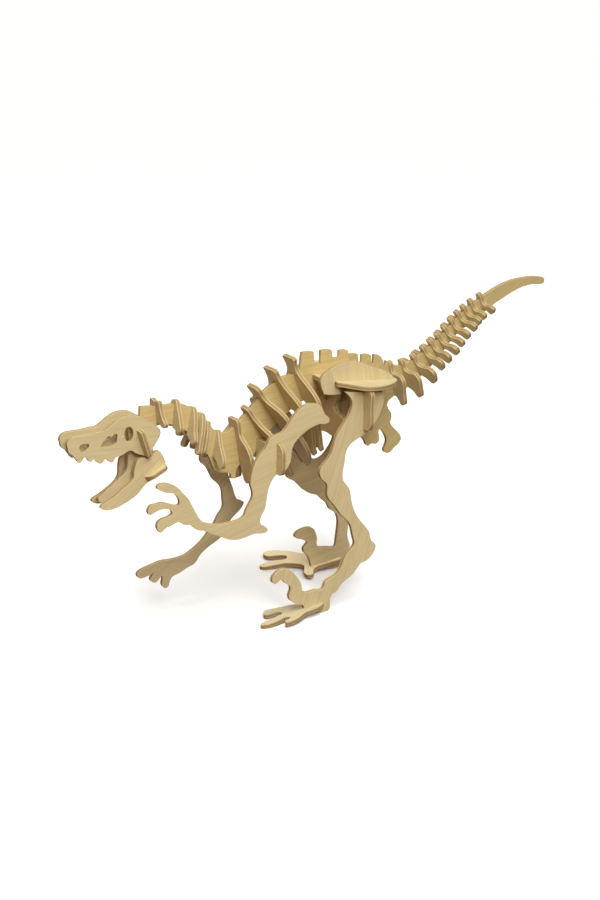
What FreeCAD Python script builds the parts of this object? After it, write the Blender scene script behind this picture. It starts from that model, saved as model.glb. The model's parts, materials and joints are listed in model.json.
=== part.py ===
import FreeCAD, Part
import math
import os

# Flat-pack wooden skeleton puzzle of a running theropod dinosaur.
# Every piece is a flat plywood plate; the plates push together with
# half-lap slots.  The animal faces -X, its left side is -Y, +Z is up.
# Millimetres throughout.

V = FreeCAD.Vector

# ---------------------------------------------------------------- sizes
PLY = 3.0            # thickness of every plywood plate
FIT = 0.05           # clearance on each side of a plate in its slot
SLOT = PLY + 2 * FIT # width of every slot
Y_SKULL = 5.9        # skull sides, centre plane
Y_JAW = 7.2          # outer jaw plates, centre plane
Y_ILIUM = 20.5       # hip blade plates, centre plane
Y_ARM = 27.0         # arm plates, centre plane
Y_LEG = 31.0         # leg plates, centre plane
X_SPLIT = 38.0       # where the front spine plate butts on the tail spine
SHELF_X0 = 16.0      # hip shelf: a point of its top face ...
SHELF_Z0 = 159.0
SHELF_SLOPE = 6.33   # ... and its slope down to the rear, degrees
X_SHOULDER = -33.3   # shoulder cross plate, centre plane
X_HIP = 31.3         # hip cross plate, centre plane
X_PELVIS = 22.0      # front pelvis cross plate, centre plane


# ---------------------------------------------------------------- helpers
def wire(pts):
    """Closed outline through points (a, b) or (a, b, 1); 1 marks a corner."""
    p = [V(q[0], q[1], 0) for q in pts]
    c = [i for i, q in enumerate(pts) if len(q) > 2 and q[2]]
    if not c:
        b = Part.BSplineCurve()
        b.interpolate(Points=p, PeriodicFlag=True)
        return Part.Wire([b.toShape()])
    edges = []
    n = len(p)
    for k in range(len(c)):
        i, j = c[k], c[(k + 1) % len(c)]
        seg = [p[i]]
        m = i
        while True:
            m = (m + 1) % n
            seg.append(p[m])
            if m == j:
                break
        if len(seg) == 2:
            edges.append(Part.LineSegment(seg[0], seg[1]).toShape())
        else:
            b = Part.BSplineCurve()
            b.interpolate(Points=seg)
            edges.append(b.toShape())
    return Part.Wire(edges)


def placed(shape, o, ex, ey):
    ez = ex.cross(ey)
    m = FreeCAD.Matrix(ex.x, ey.x, ez.x, o.x,
                       ex.y, ey.y, ez.y, o.y,
                       ex.z, ey.z, ez.z, o.z,
                       0, 0, 0, 1)
    shape.Placement = FreeCAD.Placement(m).multiply(shape.Placement)
    return shape


def plate(pts, o, ex, ey, holes=()):
    """Plywood plate with outline pts in the plane (o, ex, ey), PLY thick."""
    s = Part.Face(wire(pts)).extrude(V(0, 0, PLY))
    s.translate(V(0, 0, -PLY / 2))
    for h in holes:
        c = Part.Face(wire(h)).extrude(V(0, 0, PLY + 4))
        c.translate(V(0, 0, -PLY / 2 - 2))
        s = s.cut(c)
    b = s.copy()
    return placed(b, o, ex, ey)


def block(o, ex, ey, a0, a1, b0, b1, half):
    """Cutter: a0..a1 along ex, b0..b1 along ey, +-half along the normal."""
    s = Part.makeBox(a1 - a0, b1 - b0, 2 * half, V(a0, b0, -half))
    return placed(s, o, ex, ey)


EX, EY, EZ = V(1, 0, 0), V(0, 1, 0), V(0, 0, 1)


def side(pts, y, holes=()):
    """Plate standing along the animal (X, Z outline) at height y."""
    return plate(pts, V(0, y, 0), EX, EZ, holes)


def mirror_profile(half):
    """Full outline from a right half (u, s[, corner]) that starts and ends
    on or near the centre line."""
    left = [(-q[0],) + tuple(q[1:]) for q in reversed(half) if abs(q[0]) > 1e-6]
    return list(half) + left


class Cross:
    """A plate set across the spine: top point (x, z) and lean in degrees,
    positive when its top leans towards the head.  s runs down from the top,
    u runs sideways (+Y)."""

    def __init__(self, x, z, lean):
        a = math.radians(lean)
        self.o = V(x, 0, z)
        self.down = V(math.sin(a), 0, -math.cos(a))
        self.n = EY.cross(self.down)

    def plate(self, half, holes=()):
        return plate(mirror_profile(half), self.o, EY, self.down, holes)

    def slot_below(self, s0, s1, u=0.0):
        """Slot of this cross plate, open at its lower edge."""
        return block(self.o, EY, self.down, u - SLOT / 2, u + SLOT / 2,
                     s0, s1, PLY)

    def slot_spine(self, s0, y=0.0, s_top=-25.0):
        """Slot of the plate at y that this cross plate drops into."""
        o = self.o + V(0, y, 0)
        ex = self.down.cross(EY)
        return block(o, ex, self.down, -SLOT / 2, SLOT / 2, s_top, s0, PLY)


solids = {}


# ---------------------------------------------------------------- spine
# Front spine plate: neck, chest and hips in one plate, y = 0.
front_top = [
    (-126.4, 146.6), (-124.0, 148.6), (-120.6, 149.2), (-118.7, 150.4, 1),
    (-118.3, 156.2, 1), (-112.0, 155.7), (-106.0, 155.0), (-101.0, 154.9),
    (-96.1, 154.8), (-89.0, 153.7), (-83.3, 150.9), (-78.6, 147.6),
    (-74.1, 142.7), (-69.8, 138.3), (-67.0, 133.8), (-62.7, 130.4),
    (-58.2, 129.3), (-52.5, 131.8), (-45.0, 138.2), (-37.0, 145.3),
    (-33.0, 149.0), (-27.9, 154.0), (-22.5, 157.2), (-15.6, 160.7),
    (-7.1, 162.0), (-1.2, 162.6, 1),
    (0.7, 175.8, 1), (5.0, 176.0), (10.0, 175.2, 1), (10.6, 167.0, 1),
    (15.3, 166.6, 1), (15.6, 175.2, 1), (20.0, 175.5), (24.2, 174.6, 1),
    (25.0, 169.0, 1), (29.9, 168.8, 1), (30.2, 173.3, 1), (33.5, 173.6),
    (37.2, 172.6, 1), (X_SPLIT, 168.0, 1)]
front_low = [
    (X_SPLIT, 127.6, 1), (36.2, 126.0), (33.4, 124.8), (30.6, 125.0),
    (28.2, 127.4), (26.0, 131.6), (23.0, 137.0), (19.0, 141.6),
    (13.0, 144.2), (7.0, 144.0), (1.0, 142.2), (-6.0, 138.9),
    (-14.0, 133.8), (-23.0, 126.6), (-32.0, 117.0), (-38.5, 107.8),
    (-42.8, 103.6), (-47.4, 105.3), (-49.6, 103.0), (-49.9, 96.4, 1),
    (-54.4, 97.0, 1), (-54.8, 100.8), (-61.0, 102.3), (-66.6, 105.4),
    (-68.4, 110.0), (-72.0, 118.0), (-78.0, 127.0), (-85.0, 134.0),
    (-92.0, 139.0), (-100.0, 142.0), (-107.0, 141.8), (-111.5, 137.5),
    (-114.0, 132.8), (-117.0, 131.2), (-122.0, 131.4), (-125.6, 134.0),
    (-127.0, 140.0)]
front_spine = side(front_top + front_low, 0.0)

# Tail spine plate: rear hips, pubis and ischium lobes and the whole tail.
tail_pts = [
    (X_SPLIT, 168.0, 1), (38.9, 169.8, 1), (42.0, 169.9), (45.2, 169.1, 1),
    (45.9, 163.0, 1), (48.3, 162.8, 1), (48.6, 168.0, 1), (52.5, 168.1),
    (55.9, 167.0, 1), (56.4, 161.0, 1), (58.2, 160.8, 1), (58.4, 166.7, 1),
    (62.5, 166.0), (65.9, 162.1, 1), (66.4, 158.0, 1), (68.0, 157.6, 1),
    (68.5, 161.1, 1), (71.0, 160.2), (73.4, 157.6),
    (77.6, 156.4), (83.0, 156.6), (88.0, 157.6), (93.0, 159.4),
    (97.2, 161.8), (101.2, 164.5), (107.8, 168.2), (113.7, 172.2),
    (119.3, 176.8), (124.8, 181.6), (130.2, 186.0), (135.6, 189.8),
    (141.4, 193.0), (146.6, 195.4), (151.6, 198.0), (156.9, 200.4),
    (163.1, 202.9), (170.2, 205.0), (176.5, 206.5), (183.7, 207.2),
    (192.9, 207.4), (202.3, 206.4), (206.4, 204.4), (206.6, 202.0),
    (203.6, 200.8), (198.0, 201.3), (191.5, 201.2), (184.2, 199.9),
    (176.1, 197.2), (169.0, 194.2), (161.0, 190.6), (152.0, 185.8),
    (141.0, 179.6), (130.0, 173.4), (121.0, 165.6), (112.0, 156.6),
    (102.0, 148.4), (92.0, 142.0), (82.0, 137.2), (74.0, 133.8),
    (70.4, 130.4), (71.6, 126.0), (73.8, 122.6), (73.9, 119.4),
    (73.2, 115.9), (75.6, 112.1), (80.6, 107.0), (82.5, 103.0),
    (80.8, 99.6), (76.6, 96.6), (73.0, 93.9), (70.2, 93.9), (68.2, 95.8),
    (68.9, 98.6), (70.3, 102.7), (68.7, 107.8), (65.8, 111.4),
    (63.9, 112.4), (63.6, 108.4), (63.0, 103.0), (60.4, 102.2),
    (57.0, 102.9), (55.0, 101.7), (52.8, 103.3), (51.6, 106.2),
    (48.6, 109.2), (46.6, 115.0), (44.4, 121.6), (41.6, 125.6),
    (X_SPLIT, 127.6, 1)]
tail_spine = side(tail_pts, 0.0)

# ---------------------------------------------------------------- neck
# name, top x, top z, lean, slot depth s0, half profile (u, s)
neck = [
    ("neck_vertebra_1", -106.5, 158.3, 3, 9.6,
     [(0, 0.3), (3.4, -0.6), (6.2, -0.2), (6.9, 2.6), (8.7, 7.2),
      (10.9, 10.8), (12.9, 13.0), (11.8, 15.2), (8.2, 15.2), (4.6, 14.4),
      (1.55, 14.2, 1), (0, 14.2)]),
    ("neck_vertebra_2", -92.4, 156.7, -9, 10.2,
     [(0, -0.2), (2.0, 0.0), (3.4, 1.2), (5.6, 4.4), (8.4, 8.4),
      (11.2, 13.0), (12.8, 16.8), (11.6, 19.2), (8.2, 19.2), (4.8, 18.2),
      (1.55, 17.8, 1), (0, 17.8)]),
    ("neck_vertebra_3", -80.4, 150.1, -15, 9.6,
     [(0, -0.2), (2.0, 0.0), (3.6, 1.0), (6.0, 4.2), (8.7, 9.8),
      (10.4, 14.0), (12.8, 17.8), (13.4, 20.4), (11.6, 22.0), (8.0, 21.2),
      (4.8, 19.4), (1.55, 18.8, 1), (0, 18.8)]),
    ("neck_vertebra_4", -74.4, 145.1, -20, 9.8,
     [(0, -0.1), (2.4, 0.0), (4.6, 1.6), (7.4, 6.2), (10.1, 12.9),
      (11.4, 18.4), (12.4, 22.0), (12.6, 24.4), (10.6, 25.8), (7.8, 24.6),
      (6.6, 21.6), (4.2, 19.2), (1.55, 18.4, 1), (0, 18.4)]),
    ("neck_vertebra_5", -70.1, 139.0, -22, 9.4,
     [(0, -0.2), (1.8, 0.0), (3.4, 1.6), (6.0, 6.2), (8.6, 12.0),
      (9.8, 16.6), (9.8, 19.8), (7.6, 21.2), (4.8, 20.0), (1.55, 18.8, 1),
      (0, 18.8)]),
    ("neck_vertebra_6", -62.6, 131.7, -13, 9.6,
     [(0, -0.2), (1.4, 0.0), (3.0, 1.6), (5.7, 5.3), (10.2, 10.9),
      (14.2, 14.6), (16.2, 18.6), (15.4, 21.8), (12.2, 22.0), (8.6, 19.8),
      (5.2, 18.2), (1.55, 17.2, 1), (0, 17.2)]),
]

# ---------------------------------------------------------------- ribs
ribs = [
    ("rib_1", -50.6, 138.0, 8, 14.0,
     [(0, 0, 1), (5.4, 0.0, 1), (6.4, 1.0, 1), (6.4, 6.6), (6.6, 10.4),
      (12.0, 15.4), (16.8, 21.0), (18.2, 28.3), (16.2, 35.0), (11.8, 41.0),
      (7.8, 44.4), (5.0, 43.6), (3.2, 40.0), (2.6, 34.0), (2.4, 29.0),
      (1.55, 26.6, 1), (0, 26.6)]),
    ("rib_2", -43.0, 145.1, 32, 12.5,
     [(0, 0.6, 1), (3.8, 0.8, 1), (4.9, 2.0), (5.3, 6.0), (6.3, 10.6),
      (11.9, 17.8), (19.0, 23.4), (22.4, 30.0), (21.6, 38.0), (17.6, 46.0),
      (13.6, 53.4), (9.8, 59.6), (6.6, 61.6), (4.4, 59.4), (3.4, 52.0),
      (2.8, 44.0), (2.6, 34.0), (2.4, 28.0), (1.55, 25.0, 1), (0, 25.0)]),
    ("rib_3", -36.8, 158.5, 34, 18.5,
     [(0, 0.4, 1), (5.8, 0.8, 1), (7.0, 2.0), (7.0, 8.0), (9.2, 12.7),
      (18.6, 17.0), (23.0, 24.0), (24.6, 32.0), (25.0, 40.0), (23.2, 50.0),
      (19.2, 58.2), (15.2, 63.8), (10.6, 68.4), (6.4, 72.2), (3.4, 73.4),
      (2.0, 71.0), (2.0, 60.0), (2.2, 48.0), (4.0, 42.0), (4.2, 37.0),
      (3.0, 33.0), (1.55, 31.2, 1), (0, 31.2)]),
    ("rib_4", -23.1, 168.2, 27, 20.0,
     [(0, 0, 1), (6.8, 0.0, 1), (8.0, 1.2, 1), (8.0, 7.4), (10.6, 13.0),
      (16.6, 20.0), (21.0, 27.6), (22.6, 35.4), (21.4, 43.0), (17.4, 50.8),
      (11.8, 59.6), (6.8, 68.0), (4.0, 72.6), (1.9, 72.4), (1.9, 64.0),
      (2.2, 52.0), (3.6, 43.0), (7.6, 39.2), (9.8, 36.0), (8.4, 33.2),
      (5.0, 32.0), (1.55, 31.8, 1), (0, 31.8)]),
    ("rib_5", -8.5, 174.4, 19, 21.5,
     [(0, 0, 1), (6.3, 0.0, 1), (7.5, 1.2, 1), (7.5, 12.4), (11.6, 16.4),
      (18.4, 22.6), (22.4, 30.4), (19.4, 39.4), (13.8, 48.0), (10.4, 55.2),
      (7.8, 62.4), (5.6, 68.8), (4.0, 72.8), (2.0, 72.0), (1.9, 64.0),
      (2.2, 54.0), (3.4, 46.0), (5.8, 41.6), (6.8, 37.4), (5.0, 33.6),
      (1.55, 32.4, 1), (0, 32.4)]),
]


# ---------------------------------------------------------------- tail
def tail_half(w, l):
    """Half profile of a tail vertebra: narrow spine, flat-topped side
    process out to w, rounded lobe down to l, shallow arch under the centre."""
    return [(0, -0.2), (1.5, 0.0), (2.4, 1.4), (2.5, 4.4), (3.0, 7.4),
            (4.8, 8.6), (0.62 * w, 8.5), (w - 1.6, 8.9), (w + 0.1, 10.6),
            (w - 0.5, 0.62 * l + 2.2), (0.80 * w, l - 0.6), (0.64 * w, l),
            (0.46 * w, 0.90 * l), (0.28 * w, 0.83 * l),
            (1.55, 0.81 * l, 1), (0, 0.81 * l)]


tail = [
    ("tail_vertebra_1", 72.0, 160.3, 12, 14.0, 31.0),
    ("tail_vertebra_2", 81.5, 160.5, 20, 17.4, 27.4),
    ("tail_vertebra_3", 91.0, 162.8, 28, 20.0, 21.2),
    ("tail_vertebra_4", 99.0, 167.8, 32, 18.0, 18.5),
    ("tail_vertebra_5", 105.5, 171.3, 33, 17.0, 18.0),
    ("tail_vertebra_6", 111.3, 175.3, 35, 18.0, 17.0),
    ("tail_vertebra_7", 117.0, 180.0, 34, 17.0, 16.4),
    ("tail_vertebra_8", 122.6, 185.0, 32, 16.5, 16.2),
    ("tail_vertebra_9", 128.0, 189.5, 34, 16.5, 16.0),
    ("tail_vertebra_10", 133.3, 193.0, 32, 15.0, 15.6),
    ("tail_vertebra_11", 139.6, 196.5, 26, 14.0, 15.2),
    ("tail_vertebra_12", 147.8, 199.9, 22, 14.0, 14.8),
]
TAIL_S0 = 10.6       # slot depth of the tail vertebrae

for name, x, z, lean, s0, half in neck + ribs:
    c = Cross(x, z, lean)
    solids[name] = c.plate(half).cut(c.slot_below(s0, 90.0))
    front_spine = front_spine.cut(c.slot_spine(s0))
for name, x, z, lean, w, l in tail:
    c = Cross(x, z, lean)
    solids[name] = c.plate(tail_half(w, l)).cut(c.slot_below(TAIL_S0, 90.0))
    tail_spine = tail_spine.cut(c.slot_spine(TAIL_S0))

# ---------------------------------------------------------------- head
skull_pts = [
    (-170.6, 140.0), (-170.6, 142.3), (-169.5, 144.0), (-167.3, 145.3),
    (-164.0, 145.6), (-160.0, 145.6), (-156.1, 145.6), (-152.7, 145.9),
    (-150.7, 146.0), (-149.1, 146.1), (-147.6, 145.9), (-145.3, 146.4),
    (-143.3, 147.6), (-141.2, 148.9), (-139.1, 150.3), (-137.0, 151.5),
    (-135.0, 152.5), (-132.2, 153.3), (-129.5, 153.6), (-126.7, 153.5),
    (-124.0, 152.9), (-121.3, 151.7), (-118.0, 149.7), (-114.6, 147.4),
    (-111.2, 144.8), (-108.7, 142.6), (-107.4, 140.4), (-107.5, 138.2),
    (-108.5, 135.7), (-110.0, 133.6), (-111.6, 131.5), (-113.4, 128.9),
    (-115.0, 126.8), (-117.8, 125.5), (-120.9, 126.3), (-124.3, 127.8),
    (-126.3, 129.3), (-128.0, 130.5), (-130.0, 130.6), (-131.8, 129.8),
    (-133.9, 128.8), (-136.0, 128.2), (-138.0, 127.9), (-139.3, 127.1),
    (-140.3, 125.5), (-141.9, 124.9), (-143.5, 125.8), (-144.8, 127.3),
    (-146.0, 127.9), (-147.0, 126.8), (-148.3, 125.6), (-150.0, 125.5),
    (-151.4, 126.6), (-152.9, 128.5), (-154.2, 129.0), (-155.0, 128.0),
    (-156.3, 127.8), (-157.5, 129.4), (-158.8, 131.0), (-159.9, 131.2),
    (-160.9, 130.0), (-162.1, 128.5), (-163.4, 128.3), (-164.7, 129.8),
    (-166.0, 132.0), (-167.6, 134.1), (-169.1, 135.3), (-170.2, 137.4)]
nostril = [
    (-162.7, 138.7), (-161.3, 139.9), (-159.0, 140.0), (-156.6, 139.4),
    (-156.3, 138.0), (-157.8, 136.3), (-159.9, 135.1), (-161.6, 135.3),
    (-162.5, 136.7)]
antorbital = [
    (-148.6, 136.9), (-146.3, 139.8), (-144.2, 141.5), (-142.6, 142.4),
    (-141.4, 141.8), (-140.1, 142.3), (-138.7, 143.3), (-137.4, 142.7),
    (-137.2, 140.0), (-138.0, 137.2), (-140.4, 136.0), (-143.1, 135.5),
    (-146.1, 136.1)]
orbit = [(-129.3 + 3.1 * math.cos(t) + 0.2 * math.sin(t),
          141.4 + 4.9 * math.sin(t) - 0.4 * math.cos(t))
         for t in [k * math.pi / 5 for k in range(10)]]

HEAD_LEAN = 16.4                      # skull cross plate lean
head = Cross(-122.6, 143.6, HEAD_LEAN)
EAR_LEN = 18.4                        # height of the ears in the skull slots
skull_cross = head.plate([
    (0, -1.5, 1), (3.9, -1.5, 1), (3.9, 0.0, 1), (12.3, 0.0, 1),
    (13.5, 1.2, 1), (13.5, EAR_LEN - 1.2, 1), (12.3, EAR_LEN, 1),
    (5.2, EAR_LEN, 1), (5.2, 21.0), (4.8, 24.0), (3.2, 26.0), (0, 26.4)])
# top slot holds the hook of the neck plate, bottom slot the jaw plate
skull_cross = skull_cross.cut(
    block(head.o, EY, head.down, -SLOT / 2, SLOT / 2, -6.0, 6.5, PLY))
skull_cross = skull_cross.cut(
    block(head.o, EY, head.down, -SLOT / 2, SLOT / 2, 20.0, 32.0, PLY))
front_spine = front_spine.cut(
    block(head.o, head.down.cross(EY), head.down, -SLOT / 2, SLOT / 2,
          6.5, 22.0, PLY))
for name, y in (("skull_left", -Y_SKULL), ("skull_right", Y_SKULL)):
    s = side(skull_pts, y, (nostril, antorbital, orbit))
    solids[name] = s.cut(block(head.o + V(0, y, 0), head.down.cross(EY),
                               head.down, -SLOT / 2, SLOT / 2,
                               -FIT, EAR_LEN + 12.0, PLY))

jaw_outer_pts = [
    (-150.8, 97.2), (-149.8, 98.4), (-148.0, 99.3), (-145.2, 100.4),
    (-142.4, 101.9), (-138.9, 104.0), (-135.4, 106.4), (-131.8, 108.7),
    (-129.0, 110.8), (-127.6, 112.8), (-127.4, 115.2), (-126.9, 117.9),
    (-125.8, 120.9), (-124.5, 123.6), (-122.2, 124.9), (-119.4, 124.4),
    (-116.7, 123.9), (-114.2, 125.4), (-112.0, 127.2), (-109.9, 127.7),
    (-108.2, 126.4), (-106.8, 123.7), (-105.6, 120.9), (-104.4, 118.0),
    (-104.0, 115.6), (-105.1, 113.4), (-107.7, 111.8), (-111.3, 110.4),
    (-115.1, 108.9), (-118.3, 107.6), (-120.5, 106.0), (-123.0, 103.5),
    (-125.9, 100.9), (-129.5, 98.9), (-133.7, 97.0), (-137.9, 95.5),
    (-142.1, 94.5), (-146.2, 94.3), (-149.1, 95.2)]
# the right side has a broader rear arm
jaw_right_pts = [
    {(-131.8, 108.7): (-134.0, 107.6), (-129.0, 110.8): (-132.4, 109.6),
     (-127.6, 112.8): (-131.6, 112.2), (-127.4, 115.2): (-131.4, 115.4),
     (-126.9, 117.9): (-131.0, 118.6), (-125.8, 120.9): (-130.2, 121.6),
     (-124.5, 123.6): (-127.4, 124.4)}.get(q, q) for q in jaw_outer_pts]
jaw_centre_pts = [
    (-126.5, 127.7), (-127.8, 124.3), (-128.2, 120.0), (-129.2, 116.2),
    (-131.5, 113.5), (-134.2, 111.6), (-137.5, 109.3), (-141.1, 106.9),
    (-144.6, 104.3), (-147.7, 101.9), (-149.3, 100.4), (-148.9, 98.6),
    (-146.4, 97.2), (-140.0, 98.0), (-133.0, 99.6), (-127.0, 102.2),
    (-122.0, 106.4), (-117.0, 109.4), (-111.0, 111.6), (-106.4, 114.6),
    (-105.8, 118.6), (-107.6, 122.8), (-110.4, 126.6), (-113.6, 129.6),
    (-118.0, 131.0), (-123.4, 130.4)]
jaw_centre = side(jaw_centre_pts, 0.0)
jaw_centre = jaw_centre.cut(
    block(head.o, head.down.cross(EY), head.down, -40, 40, -6.0, 13.0, PLY))
jaw_centre = jaw_centre.cut(
    block(head.o, head.down.cross(EY), head.down, -SLOT / 2, SLOT / 2,
          0.0, 20.0, PLY))

# Jaw cross plate: lies across the three jaw plates, rising to the rear.
JAW_TILT = 23.7
ja = math.radians(JAW_TILT)
jo = V(-118.0, 0, 111.6)              # its front edge
jd = V(math.cos(ja), 0, math.sin(ja))  # towards the rear
JAW_CROSS_LEN = 13.8
JAW_LAP = 6.6                          # how far its slots run back
jaw_cross_half = [(0, 0.0, 1), (12.0, 0.0), (13.2, 1.4), (13.3, 6.6),
                  (12.9, JAW_CROSS_LEN - 1.8), (11.2, JAW_CROSS_LEN),
                  (6.0, JAW_CROSS_LEN + 0.2), (0, JAW_CROSS_LEN + 0.2)]
jaw_cross = plate(mirror_profile(jaw_cross_half), jo, EY, jd)
for y in (-Y_JAW, 0.0, Y_JAW):
    jaw_cross = jaw_cross.cut(block(jo, EY, jd, y - SLOT / 2, y + SLOT / 2,
                                    -4.0, JAW_LAP, PLY))


def jaw_slot(y):
    # plane of the slot holds jd and Y; cut SLOT across it, open to the rear
    return block(jo + V(0, y, 0), jd, EY, JAW_LAP, 40.0, -PLY, PLY, SLOT / 2)


solids["jaw_centre"] = jaw_centre.cut(jaw_slot(0.0))
solids["jaw_left"] = side(jaw_outer_pts, -Y_JAW).cut(jaw_slot(-Y_JAW))
solids["jaw_right"] = side(jaw_right_pts, Y_JAW).cut(jaw_slot(Y_JAW))
solids["jaw_crosspiece"] = jaw_cross
solids["skull_crosspiece"] = skull_cross

# ---------------------------------------------------------------- hips
sa = math.radians(SHELF_SLOPE)
sx = V(math.cos(sa), 0, -math.sin(sa))     # along the shelf, to the rear
so = V(SHELF_X0, 0, SHELF_Z0) - V(math.sin(sa), 0, math.cos(sa)) * (PLY / 2)
SHELF_F, SHELF_R = -7.2, 47.4              # front and rear edge along sx
SHELF_LAP_F, SHELF_LAP_R = 9.0, 32.0       # solid middle between the laps
shelf_half = [
    (SHELF_F, 0.0, 1), (SHELF_F, 13.0), (-5.8, 16.6), (-2.4, 18.4, 1),
    (-2.4, 25.4, 1),
    (0.7, 29.6), (4.2, 33.4), (8.4, 38.2), (12.9, 40.6), (19.7, 40.7),
    (26.8, 38.6), (32.7, 35.8), (40.6, 30.3), (46.0, 24.8), (48.2, 20.6),
    (SHELF_R + 0.4, 12.0), (SHELF_R, 0.0, 1)]
shelf_pts = shelf_half + [(a[0], -a[1]) + tuple(a[2:])
                          for a in reversed(shelf_half) if a[1] > 0]
shelf = plate(shelf_pts, so, sx, EY)


def shelf_cut(a0, a1, b0, b1):
    return block(so, sx, EY, a0, a1, b0, b1, PLY)


shelf = shelf.cut(shelf_cut(SHELF_F - 5, SHELF_LAP_F, -SLOT / 2, SLOT / 2))
shelf = shelf.cut(shelf_cut(SHELF_LAP_R, SHELF_R + 5, -SLOT / 2, SLOT / 2))

# spine plates: slots the shelf slides into
front_spine = front_spine.cut(block(so, sx, EY, SHELF_LAP_F, 60.0, -PLY, PLY,
                                    SLOT / 2))
tail_spine = tail_spine.cut(block(so, sx, EY, -10.0, SHELF_LAP_R, -PLY, PLY,
                                  SLOT / 2))

# Hip blades stand on the shelf: a hook in a front notch, a tab at the rear.
NOTCH_R = 0.4                              # rear end of the front notch
TAB_A, TAB_B = 30.0, 37.0                  # rear tab along the shelf


def on_shelf(a, d):
    """Point a along the shelf and d above its top face, as (x, z)."""
    p = so + sx * a + V(math.sin(sa), 0, math.cos(sa)) * (PLY / 2 + d)
    return (p.x, p.z)


blade_pts = [
    (2.9, 161.6), (5.2, 164.6), (9.1, 166.9), (13.7, 169.2), (19.2, 170.7),
    (25.5, 171.0), (31.8, 170.2), (37.4, 167.8), (43.1, 165.0),
    (49.6, 162.6), (56.1, 159.6), (59.4, 157.2),
    on_shelf(45.2, 0.0) + (1,), on_shelf(TAB_B, 0.0) + (1,),
    on_shelf(TAB_B, -PLY) + (1,), on_shelf(TAB_A, -PLY) + (1,),
    on_shelf(TAB_A, 0.0) + (1,), on_shelf(NOTCH_R - FIT, 0.0) + (1,),
    on_shelf(NOTCH_R - FIT, -3.6) + (1,), (17.3, 153.6), (18.2, 149.6, 1),
    (12.0, 150.0), (5.4, 151.4, 1), (3.4, 156.4)]
# The right blade has the same foot and hook but a low crest.
low_crest = [
    (4.6, 157.0), (6.6, 158.8), (11.0, 159.9), (16.0, 160.2), (25.8, 160.3),
    (33.0, 161.4), (40.0, 161.8), (46.0, 161.0), (52.0, 159.0),
    (57.0, 156.8)]
for name, y, top in (("left_hip_blade", -Y_ILIUM, blade_pts[:12]),
                     ("right_hip_blade", Y_ILIUM, low_crest)):
    solids[name] = side(top + blade_pts[12:], y)
    shelf = shelf.cut(shelf_cut(SHELF_F - 5, NOTCH_R,
                                y - SLOT / 2, y + SLOT / 2))
    shelf = shelf.cut(shelf_cut(TAB_A - FIT, TAB_B + FIT,
                                y - SLOT / 2, y + SLOT / 2))


def shelf_low(x):
    """Underside of the shelf at x."""
    return SHELF_Z0 - (x - SHELF_X0) * math.tan(sa) - PLY / math.cos(sa)


def across(pts, x):
    """Plate standing across the animal (Y, Z outline) at x."""
    return plate(pts, V(x, 0, 0), EY, EZ)


def mirror_y(half):
    return half + [(-q[0],) + tuple(q[1:]) for q in reversed(half)
                   if abs(q[0]) > 1e-6]


# Hip cross plate: carries both legs on its ears.
HIP_Z = 126.0
HIP_LAP = 139.5                     # half lap height with the legs
hz = shelf_low(X_HIP + PLY / 2) - 0.02
hip_half = [
    (0, hz, 1), (10.0, hz, 1), (10.0, hz + 2.8, 1), (17.0, hz + 2.8, 1),
    (17.0, hz, 1), (39.4, hz, 1), (40.8, hz - 1.6), (41.0, 146.0),
    (41.0, 135.0), (40.6, 129.8), (38.4, 126.8), (35.0, HIP_Z),
    (29.4, HIP_Z + 0.6), (26.0, 129.0), (23.6, 134.6), (20.8, 140.6),
    (16.6, 143.2), (11.6, 142.4), (6.6, 140.0), (3.0, 137.6),
    (PLY / 2, 136.6, 1), (PLY / 2, 126.2, 1), (0, 126.2)]
hip_cross = across(mirror_y(hip_half), X_HIP)
for y in (-Y_LEG, Y_LEG):
    hip_cross = hip_cross.cut(block(V(X_HIP, 0, 0), EY, EZ, y - SLOT / 2,
                                    y + SLOT / 2, 110.0, HIP_LAP, PLY))
# Front pelvis plate: narrow, hangs from the shelf below the spine.
pz = shelf_low(X_PELVIS + PLY / 2) - 0.02
pelvis_half = [
    (0, pz, 1), (7.0, pz, 1), (7.0, pz + 2.8, 1), (12.0, pz + 2.8, 1),
    (12.0, pz, 1), (15.0, pz, 1), (16.2, pz - 1.8), (15.4, 148.6),
    (12.6, 142.8), (10.2, 139.4), (9.3, 137.0), (11.8, 134.9), (16.4, 133.2),
    (20.6, 132.4), (21.8, 130.6), (20.4, 128.0), (17.2, 124.8),
    (14.4, 121.3), (12.6, 118.2), (10.4, 116.5), (6.4, 116.4), (3.0, 116.8),
    (0, 117.0)]
pelvis = across(mirror_y(pelvis_half), X_PELVIS)
SPINE_LAP = 150.0
for x in (X_HIP, X_PELVIS):
    front_spine = front_spine.cut(block(V(x, 0, 0), EX, EZ, -SLOT / 2,
                                        SLOT / 2, 120.0, SPINE_LAP, PLY))
hip_cross = hip_cross.cut(block(V(X_HIP, 0, 0), EY, EZ, -SLOT / 2, SLOT / 2,
                                SPINE_LAP, 170.0, PLY))
pelvis = pelvis.cut(block(V(X_PELVIS, 0, 0), EY, EZ, -SLOT / 2, SLOT / 2,
                          SPINE_LAP, 170.0, PLY))
for x, y0, y1 in ((X_HIP, 10.0, 17.0), (X_PELVIS, 7.0, 12.0)):
    for sgn in (-1, 1):
        a, b = sorted((sgn * (y0 - FIT), sgn * (y1 + FIT)))
        shelf = shelf.cut(Part.makeBox(SLOT, b - a, 12.0,
                                       V(x - SLOT / 2, a, 150.0)))
solids["hip_shelf"] = shelf
solids["hip_crosspiece"] = hip_cross
solids["pelvis_crosspiece"] = pelvis

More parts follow.
